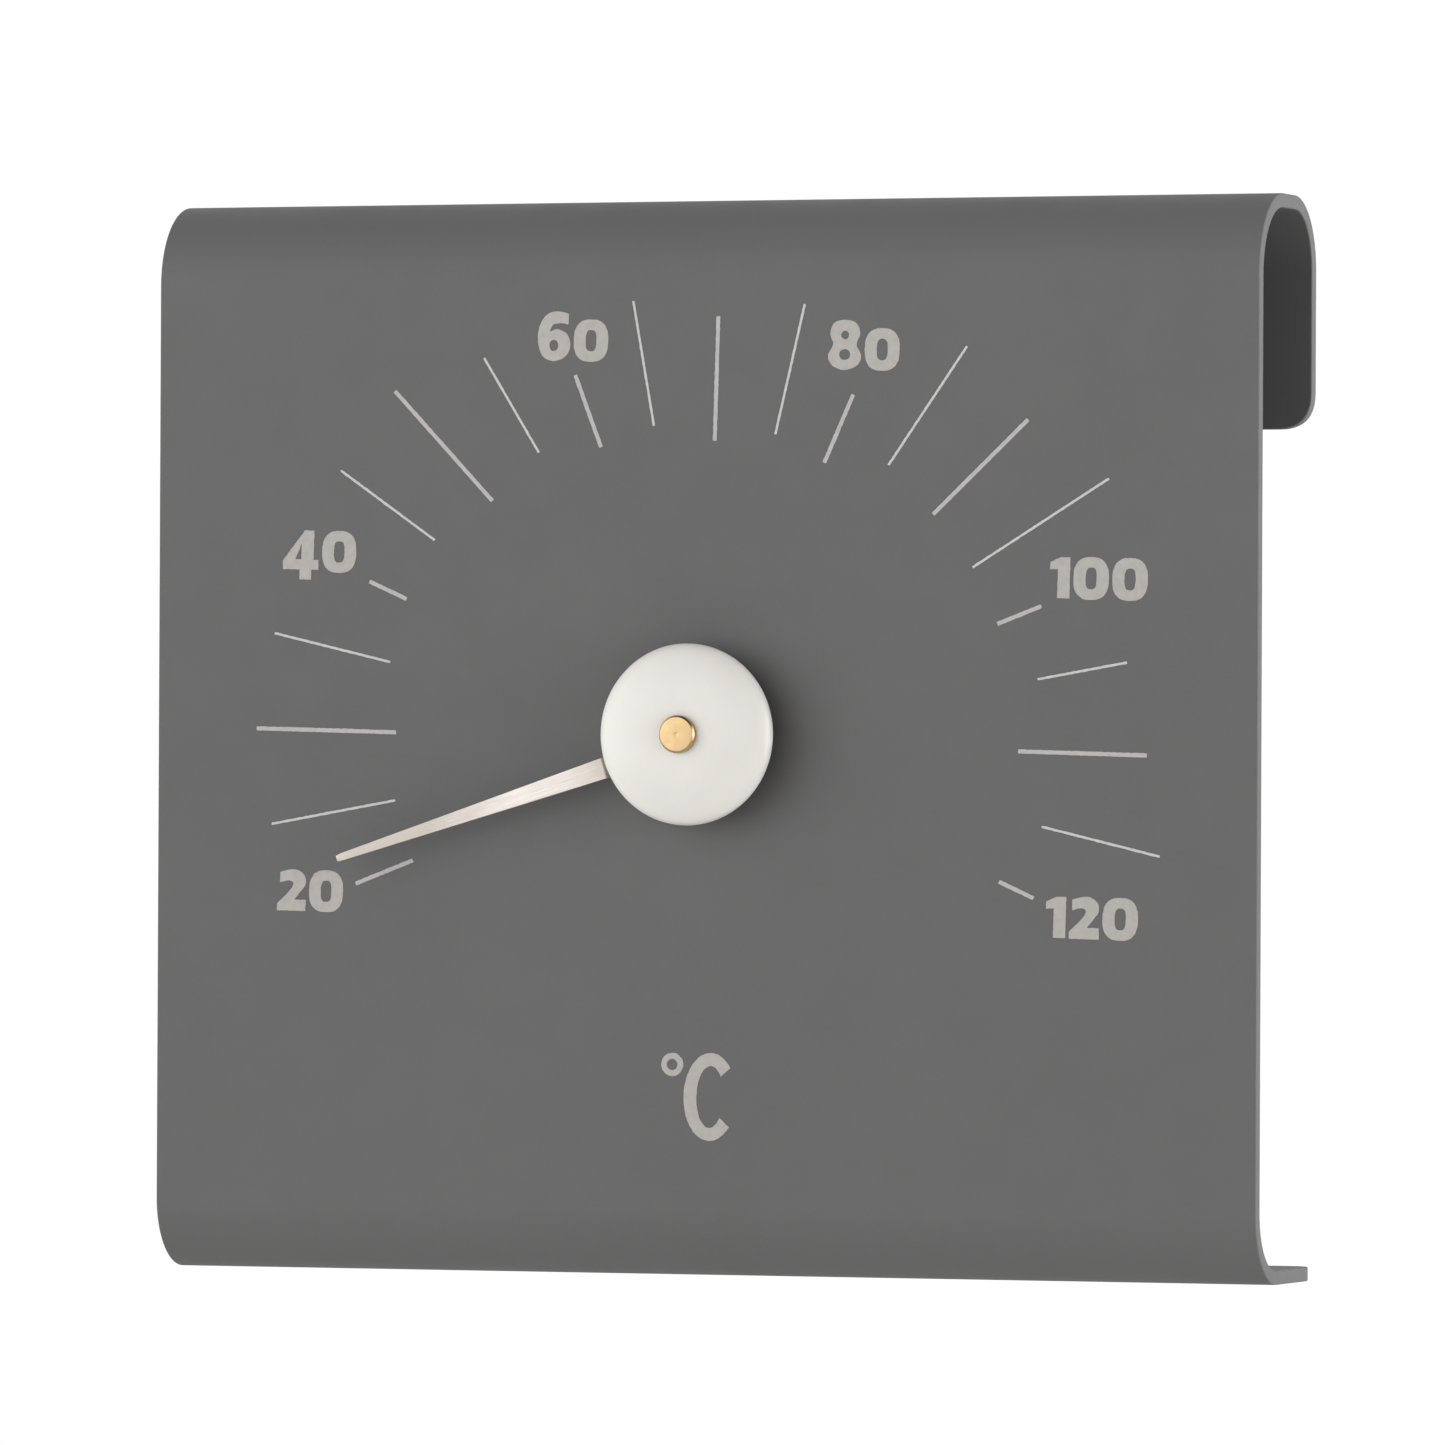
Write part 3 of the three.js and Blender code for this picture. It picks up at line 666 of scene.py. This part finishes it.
def degree_outlines():
    """A degree sign and a C, below the hub."""
    ring = [circle(-3.55, -45.0, 1.62, 36), circle(-3.55, -45.0, 0.78, 28)]
    centre, outer, inner = (2.15, -49.3), (3.9, 6.1), (2.0, 4.3)
    opening = 42
    turns = [math.radians(opening + (360 - 2 * opening) * i / 48) for i in range(49)]

    def bow(reach, t):
        return centre[0] + reach[0] * math.cos(t), centre[1] + reach[1] * math.sin(t)

    letter = [bow(outer, t) for t in turns] + [bow(inner, t) for t in reversed(turns)]
    return [*ring, letter]


RAG_STEP, RAG_SWING = 0.16, 0.056           # spacing of the edge's points, and how far they stray
RAG_GRAIN = 2.2                             # how quickly the edge wavers, per millimetre


def ragged(outline):
    """The slightly uneven edge that ink leaves on a textured coat."""
    made = []
    for (x0, y0), (x1, y1) in zip(outline, outline[1:] + outline[:1]):
        parts = max(1, round(math.hypot(x1 - x0, y1 - y0) / RAG_STEP))
        made += [(x0 + (x1 - x0) * k / parts, y0 + (y1 - y0) * k / parts) for k in range(parts)]
    places = [(x * RAG_GRAIN, y * RAG_GRAIN) for x, y in made]
    jitter = [(noise.noise((x, y, 0)), noise.noise((x, y, 9))) for x, y in places]
    return [(x + RAG_SWING * dx, y + RAG_SWING * dy) for (x, y), (dx, dy) in zip(made, jitter)]


def print_piece(name, outlines, ink):
    """A film of ink on the panel's front face."""
    bm = cut_plate(name, [ragged(outline) for outline in outlines], INK)
    turn = Matrix.Rotation(math.radians(PRINT_TURN), 4, "Z")
    stand = Matrix.Rotation(math.radians(90), 4, "X")
    bmesh.ops.transform(bm, matrix=stand @ turn, verts=bm.verts)
    piece = finish_mesh(bm, name, ink, 30)
    piece.location = (PRINT_X * MM, FRONT_Y - INK * MM, MIDDLE_Z + PRINT_Z * MM)
    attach(piece, "panel_body")


def build_print():
    marks = [mark_outline(value, *reach, WIDE_MARK) for value, reach in (NUMBER_MARKS | TEN_MARKS).items()]
    print_piece("scale_marks", marks, MARK_INK)
    fine_marks = [mark_outline(value, *reach, FINE_MARK) for value, reach in FIVE_MARKS.items()]
    print_piece("scale_fine_marks", fine_marks, FINE_INK)
    numbers = [outline for value in NUMBER_PLACES for outline in number_outlines(value)]
    print_piece("scale_numbers", numbers, FIGURE_INK)
    print_piece("degree_sign", degree_outlines(), FIGURE_INK)


# ---------- movement ----------


def ride_slot(piece, body, slot, *nodes):
    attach(piece, body)
    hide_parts(*nodes)


def build_cap():
    reach, rise = CAP_RADIUS - CAP_SEAT, CAP_FACE - CAP_RIM
    dome = [(CAP_SEAT + reach * x, CAP_RIM + rise * y) for x, y in arc((0, 0), 1, 90, 0, 40)]
    profile = [(FIXED_BORE, CAP_RECESS_FLOOR), (FIXED_BORE, CAP_FACE), *dome, (CAP_RADIUS, CAP_BACK),
               (CAP_RECESS_RADIUS, CAP_BACK), (CAP_RECESS_RADIUS, CAP_RECESS_FLOOR)]
    cap = lathe("cap_moulding", profile, WHITE, 160, 0.12, 50)
    even_shading(cap)
    ride_slot(cap, "spindle_body", "white_cap", "cap")
    flat_washer = flat_ring("cap_washer_ring", FIXED_BORE, ARBOR_RADIUS, ARBOR_FRONT, CAP_RECESS_FLOOR, FIBRE)
    ride_slot(flat_washer, "spindle_body", "fibre", "cap_washer")


def build_spindle():
    chamfer, dimple, dimple_depth = 0.25, 0.32, 0.07
    slot_width, slot_depth = 0.7, 0.9
    profile = [
        (0, SPINDLE_FACE - dimple_depth), (dimple, SPINDLE_FACE),
        (SPINDLE_HEAD_RADIUS - chamfer, SPINDLE_FACE), (SPINDLE_HEAD_RADIUS, SPINDLE_FACE - chamfer),
        (SPINDLE_HEAD_RADIUS, CAP_FACE), (SPINDLE_RADIUS, CAP_FACE), (SPINDLE_RADIUS, GROOVE_FRONT),
        (GROOVE_RADIUS, GROOVE_FRONT), (GROOVE_RADIUS, GROOVE_BACK), (SPINDLE_RADIUS, GROOVE_BACK),
        (SPINDLE_RADIUS, SPINDLE_TAIL + chamfer), (SPINDLE_RADIUS - chamfer, SPINDLE_TAIL),
        (0, SPINDLE_TAIL),
    ]
    spindle = lathe("spindle_turning", profile, BRASS, 96, 0.05, 35)
    cutter_mesh = bpy.data.meshes.new("slot_cutter")
    bm = bmesh.new()
    bmesh.ops.create_cube(bm, size=1)
    size = (4 * SPINDLE_RADIUS * MM, 2 * slot_depth * MM, slot_width * MM)
    bmesh.ops.scale(bm, vec=size, verts=bm.verts)
    bm.to_mesh(cutter_mesh)
    bm.free()
    cutter = bpy.data.objects.new("slot_cutter", cutter_mesh)
    bpy.context.scene.collection.objects.link(cutter)
    cutter.location = HUB - Vector((0, SPINDLE_TAIL * MM, 0))
    apply_boolean(spindle, cutter)
    ride_slot(spindle, "spindle_body", "brass", "spindle")


def apply_boolean(piece, cutter):
    """Cuts the cutter out of the piece and removes it."""
    modifier = piece.modifiers.new("cut", "BOOLEAN")
    modifier.operation = "DIFFERENCE"
    modifier.solver = "EXACT"
    modifier.object = cutter
    bpy.context.view_layer.update()
    depsgraph = bpy.context.evaluated_depsgraph_get()
    mesh = bpy.data.meshes.new_from_object(piece.evaluated_get(depsgraph))
    piece.modifiers.clear()
    piece.data = mesh
    mesh.set_sharp_from_angle(angle=math.radians(35))
    bpy.data.objects.remove(cutter)


def share(value):
    return min(1, max(0, value))


def thread_radius(angle, height):
    """A rounded screw thread on the bush's shank, running out under its flange and at its end."""
    phase = (height / THREAD_PITCH - angle / TAU) % 1
    groove = share(THREAD_FLANK * abs(2 * phase - 1) - THREAD_ROOT)
    fade = share((height - BUSH_END) / THREAD_RUN_OUT) * share((THREAD_FRONT - height) / THREAD_RUN_OUT)
    return THREAD_RADIUS - THREAD_DEPTH * (1 - fade + fade * groove)


def build_fixed_stack():
    lock_front = -SHEET - REAR_WASHER
    nut_front = lock_front - LOCK_WASHER
    nut_back = nut_front - NUT_HEIGHT
    flange_front = FRONT_WASHER + BUSH_FLANGE
    steps = round((FRONT_WASHER - BUSH_END) / THREAD_PITCH * 10)
    shank = [BUSH_END + (FRONT_WASHER - BUSH_END) * i / steps for i in range(steps + 1)]
    bush = polar_solid("bush_thread", shank, thread_radius, lambda t, h: TURNING_BORE, NUT_BRASS, 72, 50)
    ride_slot(bush, "panel_body", "brass", "spindle_bush")
    flange = flat_ring("bush_flange", TURNING_BORE, FLANGE_RADIUS, FRONT_WASHER, flange_front, NUT_BRASS)
    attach(flange, "panel_body")
    washer = flat_ring("front_washer_ring", THREAD_BORE, FRONT_RADIUS, 0, FRONT_WASHER, FIBRE)
    ride_slot(washer, "panel_body", "fibre", "front_washer")
    washer = flat_ring("rear_washer_ring", THREAD_BORE, REAR_RADIUS, lock_front, -SHEET, STEEL, 0.15)
    ride_slot(washer, "panel_body", "steel", "rear_washer")
    build_lock_washer(nut_front, lock_front)
    build_nut(nut_back, nut_front)


def build_lock_washer(back, front):
    edge = 0.08

    def outer(angle, height):
        return LOCK_RADIUS - edge if height in (back, front) else LOCK_RADIUS

    def inner(angle, height):
        phase = angle / TAU * LOCK_TEETH % 1
        return LOCK_TOOTH_ROOT if phase < LOCK_GAP else THREAD_BORE

    levels = [back, back + edge, front - edge, front]
    washer = polar_solid("lock_washer_ring", levels, outer, inner, STEEL, 240)
    ride_slot(washer, "panel_body", "steel", "lock_washer")


def build_nut(back, front):
    corner = NUT_FLATS / 2 / math.cos(math.radians(30))

    def outer(angle, height):
        flat = NUT_FLATS / 2 / math.cos((angle % (TAU / 6)) - TAU / 12)
        near = min(height - back, front - height)
        cone = corner - 2 * (NUT_CHAMFER - near) if near < NUT_CHAMFER else corner
        return min(flat, cone)

    def bore(angle, height):
        near = min(height - back, front - height)
        return THREAD_BORE + max(0, NUT_BORE_CHAMFER - near) * NUT_BORE_SLOPE

    chamfer = [NUT_CHAMFER * i / 8 for i in range(9)]
    levels = [back + step for step in chamfer] + [front - step for step in reversed(chamfer)]
    nut = polar_solid("rear_nut_hex", levels, outer, bore, NUT_BRASS, 240, 24)
    ride_slot(nut, "panel_body", "brass", "rear_nut")


def build_tail_stack():
    wave_back = BUSH_END - PLAY - WAVE_WASHER
    washer_back = wave_back - TAIL_WASHER
    swing = (WAVE_WASHER - WAVE_SHEET) / 2
    facets = 144
    bm = bmesh.new()
    corners = [(FIXED_BORE, 0), (TAIL_RING_RADIUS, 0),
               (TAIL_RING_RADIUS, WAVE_SHEET), (FIXED_BORE, WAVE_SHEET)]
    section = rounded(corners, 0.06, 2)
    rings = []
    for r, h in section:
        ring = []
        for i in range(facets):
            t = TAU * i / facets
            height = wave_back + swing + h + swing * math.cos(WAVES * t)
            ring.append(bm.verts.new((r * MM * math.cos(t), -height * MM, r * MM * math.sin(t))))
        rings.append(ring)
    join_rings(bm, rings + [rings[0]])
    wavy = at_hub(finish_mesh(bm, "wave_spring", STEEL, 45))
    ride_slot(wavy, "spindle_body", "steel", "wave_washer")
    flat = flat_ring("tail_washer_ring", FIXED_BORE, TAIL_RING_RADIUS, washer_back, wave_back, NUT_BRASS)
    ride_slot(flat, "spindle_body", "brass", "tail_washer")
    clip_front, clip_back = washer_back - PLAY, GROOVE_BACK + PLAY
    mouth = math.degrees(CLIP_MOUTH)
    outline = arc((0, 0), CLIP_RADIUS, mouth, 360 - mouth, 48)
    outline += arc((0, 0), GROOVE_RADIUS + PLAY, 360 - mouth, mouth, 32)
    bm = cut_plate("clip", [outline], clip_front - clip_back, 0.08)
    bmesh.ops.transform(bm, matrix=Matrix.Rotation(math.radians(90), 4, "X"), verts=bm.verts)
    bmesh.ops.translate(bm, verts=bm.verts, vec=(0, -clip_front * MM, 0))
    clip = at_hub(finish_mesh(bm, "retaining_clip_plate", STEEL, 40))
    ride_slot(clip, "spindle_body", "steel", "retaining_clip")


def coil_line():
    """(angle, radius) along the strip, from the arbor out to just past the pointer's tab."""
    tail = math.asin(COIL_TAIL_OFFSET / ARBOR_RADIUS)
    last = math.radians(COIL_PAST_TAB) + COIL_TURNS * TAU
    steps = round((last - tail) / TAU * COIL_SEGMENTS)
    angles = [tail + (last - tail) * i / steps for i in range(steps + 1)]
    return [(a, COIL_OUTER - COIL_PITCH * (COIL_TURNS - a / TAU)) for a in angles]


def build_coil():
    spiral = coil_line()
    line = [Vector((COIL_TAIL_INSIDE, COIL_TAIL_OFFSET))]
    line += [Vector((r * math.cos(a), r * math.sin(a))) for a, r in spiral]
    bm = bmesh.new()
    height = (COIL_BACK + COIL_FRONT) / 2
    half = (COIL_FRONT - COIL_BACK) / 2
    section = rounded([(-COIL_STRIP / 2, -half), (COIL_STRIP / 2, -half), (COIL_STRIP / 2, half),
                       (-COIL_STRIP / 2, half)], 0.07, 2)
    rings = []
    for i, point in enumerate(line):
        along = (line[min(i + 1, len(line) - 1)] - line[max(i - 1, 0)]).normalized()
        side = Vector((along.y, -along.x))
        ring = []
        for out, up in section:
            place = point + side * out
            ring.append(bm.verts.new((place.x * MM, -(height + up) * MM, place.y * MM)))
        rings.append(ring)
    join_rings(bm, rings)
    bm.faces.new(rings[0])
    bm.faces.new(rings[-1])
    coil = at_hub(finish_mesh(bm, "bimetal_spiral", BIMETAL, 50), POINTER_ANGLE)
    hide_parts("bimetal_coil")
    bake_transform(coil)


def build_arbor():
    side = ARBOR_SLOT_WIDTH / 2
    slot_end = math.degrees(math.asin(side / ARBOR_RADIUS))
    outer = arc((0, 0), ARBOR_RADIUS, slot_end, 360 - slot_end, 60)
    outline = outer + [(ARBOR_SLOT_INSIDE, -side), (ARBOR_SLOT_INSIDE, side)]
    bm = cut_plate("arbor", [outline, circle(0, 0, FIXED_BORE, 48)], ARBOR_FRONT - ARBOR_BACK, 0.08)
    bmesh.ops.transform(bm, matrix=Matrix.Rotation(math.radians(90), 4, "X"), verts=bm.verts)
    bmesh.ops.translate(bm, verts=bm.verts, vec=(0, -ARBOR_FRONT * MM, 0))
    arbor = at_hub(finish_mesh(bm, "arbor_sleeve", NUT_BRASS, 35), POINTER_ANGLE)
    ride_slot(arbor, "spindle_body", "brass", "coil_arbor")
    bm = bmesh.new()
    middle = (ARBOR_SLOT_INSIDE + ARBOR_RADIUS) / 2
    levels = [(0, COIL_BACK), (COIL_PIN_RADIUS, COIL_BACK), (COIL_PIN_RADIUS, COIL_FRONT), (0, COIL_FRONT)]
    rings = []
    for r, h in rounded(levels, 0.08, 3, closed=False):
        places = [(middle, COIL_PIN_OFFSET)] if r < ON_AXIS else circle(middle, COIL_PIN_OFFSET, r, 24)
        rings.append([bm.verts.new((x * MM, -h * MM, z * MM)) for x, z in places])
    join_rings(bm, rings)
    pin = at_hub(finish_mesh(bm, "coil_pin_rod", STEEL, 40), POINTER_ANGLE)
    ride_slot(pin, "spindle_body", "steel", "coil_pin")


def build_pointer():
    """The blade's section, bent over at the root, swept across its width and narrowed towards the tip."""
    bend_x, bend_height = TAB_INSIDE + TAB_BEND, POINTER_FACE - TAB_BEND
    edge = 0.09
    centre_line = [(TAB_INSIDE, TAB_BACK + (bend_height - TAB_BACK) * i / 4) for i in range(4)]
    centre_line += arc((bend_x, bend_height), TAB_BEND, 180, 90, 10)
    centre_line += [(bend_x + (POINTER_TIP - bend_x) * i / 40, POINTER_FACE) for i in range(1, 41)]
    bm = bmesh.new()
    rings = []
    for i, (x, h) in enumerate(centre_line):
        before, after = centre_line[max(i - 1, 0)], centre_line[min(i + 1, len(centre_line) - 1)]
        along = Vector((after[0] - before[0], after[1] - before[1])).normalized()
        inward = Vector((along.y, -along.x))
        narrowed = share((x - bend_x) / (POINTER_TIP - bend_x))
        half = (POINTER_ROOT_WIDTH + (POINTER_TIP_WIDTH - POINTER_ROOT_WIDTH) * narrowed) / 2
        end_break = edge if i in (0, len(centre_line) - 1) else 0
        outline = rounded([(-half + end_break, end_break), (half - end_break, end_break),
                           (half - end_break, POINTER_SHEET - end_break),
                           (-half + end_break, POINTER_SHEET - end_break)], edge, 3)
        rings.append([bm.verts.new(((x + inward.x * deep) * MM, -(h + inward.y * deep) * MM,
                                    (POINTER_OFFSET + across) * MM)) for across, deep in outline])
    join_rings(bm, rings)
    bm.faces.new(rings[0])
    bm.faces.new(rings[-1])
    pointer = at_hub(finish_mesh(bm, "pointer_blade", SILVER, 40), POINTER_ANGLE)
    even_shading(pointer)
    ride_slot(pointer, "pointer_body", "pointer_metal", "pointer")
    height = (TAB_BACK + POINTER_FACE - TAB_BEND) / 2
    for i, side in enumerate((-0.5, 0.5)):
        build_rivet(f"rivet_{i + 1}", f"pointer_rivet_{i + 1}", height, POINTER_OFFSET + side * RIVET_SPACING)


def build_rivet(name, replaced, height, z):
    inside = TAB_INSIDE - RIVET_GRIP
    outside = TAB_INSIDE + POINTER_SHEET + RIVET_PLAY
    dome = [(RIVET_HEAD * math.cos(t), RIVET_HEAD_HEIGHT * math.sin(t))
            for t in (math.radians(90 * k / 8) for k in range(9))]
    profile = [(0, inside - RIVET_HEAD_HEIGHT)] + [(r, inside - d) for r, d in reversed(dome[:-1])]
    profile += [(RIVET_RADIUS, inside), (RIVET_RADIUS, outside)]
    profile += [(r, outside + d) for r, d in dome[:-1]] + [(0, outside + RIVET_HEAD_HEIGHT)]
    bm = bmesh.new()
    rings = []
    for r, x in profile:
        count = 1 if r < ON_AXIS else 32
        rings.append([bm.verts.new((x * MM, -(height + r * math.cos(TAU * i / count)) * MM,
                                    (z + r * math.sin(TAU * i / count)) * MM)) for i in range(count)])
    join_rings(bm, rings)
    rivet = at_hub(finish_mesh(bm, name, NUT_BRASS, 50), POINTER_ANGLE)
    ride_slot(rivet, "pointer_body", "brass", replaced)


build_panel()
build_print()
build_cap()
build_spindle()
build_fixed_stack()
build_tail_stack()
build_coil()
build_arbor()
build_pointer()

# ---------- stage, light and camera ----------

FLOOR_DROP, FLOOR_RADIUS = 0.30, 1.6        # in metres


def build_stage():
    bm = bmesh.new()
    bmesh.ops.create_circle(bm, cap_ends=True, segments=96, radius=FLOOR_RADIUS)
    bmesh.ops.translate(bm, verts=bm.verts, vec=(0, 0, panel_low.z - FLOOR_DROP))
    floor = finish_mesh(bm, "floor", soft_stage("pale_floor", (0.90, 0.90, 0.89)))


# The studio's soft light, as brightness by direction: an even fill, a soft box at the front left, a second
# one square on from the right and a bright wall behind the object, all weaker from above and below.
FILL, HEIGHT_DROP = 0.06, 0.52
# Each soft box: brightness, azimuth (0 is the front, positive to the right), elevation, how tight it is.
SOFT_BOXES = [(2.43, -50.0, 2.0, 2.3), (7.4, 89.0, 0.0, 12.0)]
WALL_GLOW = 0.97


def build_studio_light():
    world = bpy.data.worlds.new("studio")
    world.use_nodes = True
    bpy.context.scene.world = world
    tree = world.node_tree
    direction = node(tree, "ShaderNodeTexCoord").outputs["Generated"]
    split = node(tree, "ShaderNodeSeparateXYZ", {0: direction})
    total = ranged(tree, split.outputs["Y"], FILL, FILL + WALL_GLOW, 0, 0.35)
    for brightness, azimuth, elevation, tightness in SOFT_BOXES:
        a, e = math.radians(azimuth), math.radians(elevation)
        source = (math.sin(a) * math.cos(e), -math.cos(a) * math.cos(e), math.sin(e))
        dot = node(tree, "ShaderNodeVectorMath", {0: direction, 1: source}, operation="DOT_PRODUCT")
        towards = calculated(tree, "MAXIMUM", dot.outputs["Value"], 0.0)
        lobe = calculated(tree, "POWER", towards, tightness)
        total = calculated(tree, "MULTIPLY_ADD", lobe, brightness, total)
    up = split.outputs["Z"]
    falloff = ranged(tree, calculated(tree, "MULTIPLY", up, up), 1, 1 - HEIGHT_DROP, 0, 1)
    total = calculated(tree, "MULTIPLY", total, falloff)
    tree.nodes["Background"].inputs["Color"].default_value = (1, 1, 1, 1)
    tree.links.new(total, tree.nodes["Background"].inputs["Strength"])


# The camera's aim is to the right of and above the middle of the panel's front.
CAMERA_AIM_X, CAMERA_AIM_Z, CAMERA_DISTANCE = 3.453, 2.0, 1656.8
CAMERA_YAW, CAMERA_PITCH, CAMERA_ROLL = 19.592, -0.445, 0.256   # degrees
CAMERA_LENS, CAMERA_SENSOR = 297.64, 36.0


def build_camera():
    data = bpy.data.cameras.new("photo_camera")
    data.sensor_width = CAMERA_SENSOR
    data.lens = CAMERA_LENS
    data.clip_start, data.clip_end = 0.05, 50
    camera = bpy.data.objects.new("photo_camera", data)
    bpy.context.scene.collection.objects.link(camera)
    target = Vector((CAMERA_AIM_X * MM, FRONT_Y, MIDDLE_Z + CAMERA_AIM_Z * MM))
    yaw, pitch, roll = (math.radians(angle) for angle in (CAMERA_YAW, CAMERA_PITCH, CAMERA_ROLL))
    back = Vector((math.sin(yaw) * math.cos(pitch), -math.cos(yaw) * math.cos(pitch), math.sin(pitch)))
    camera.location = target + back * CAMERA_DISTANCE * MM
    look = (-back).to_track_quat("-Z", "Y")
    camera.rotation_mode = "QUATERNION"
    camera.rotation_quaternion = look @ Matrix.Rotation(roll, 3, "Z").to_quaternion()
    bpy.context.scene.camera = camera


build_stage()
build_studio_light()
build_camera()
bpy.context.scene.view_settings.view_transform = "Standard"

bpy.context.view_layer.update()
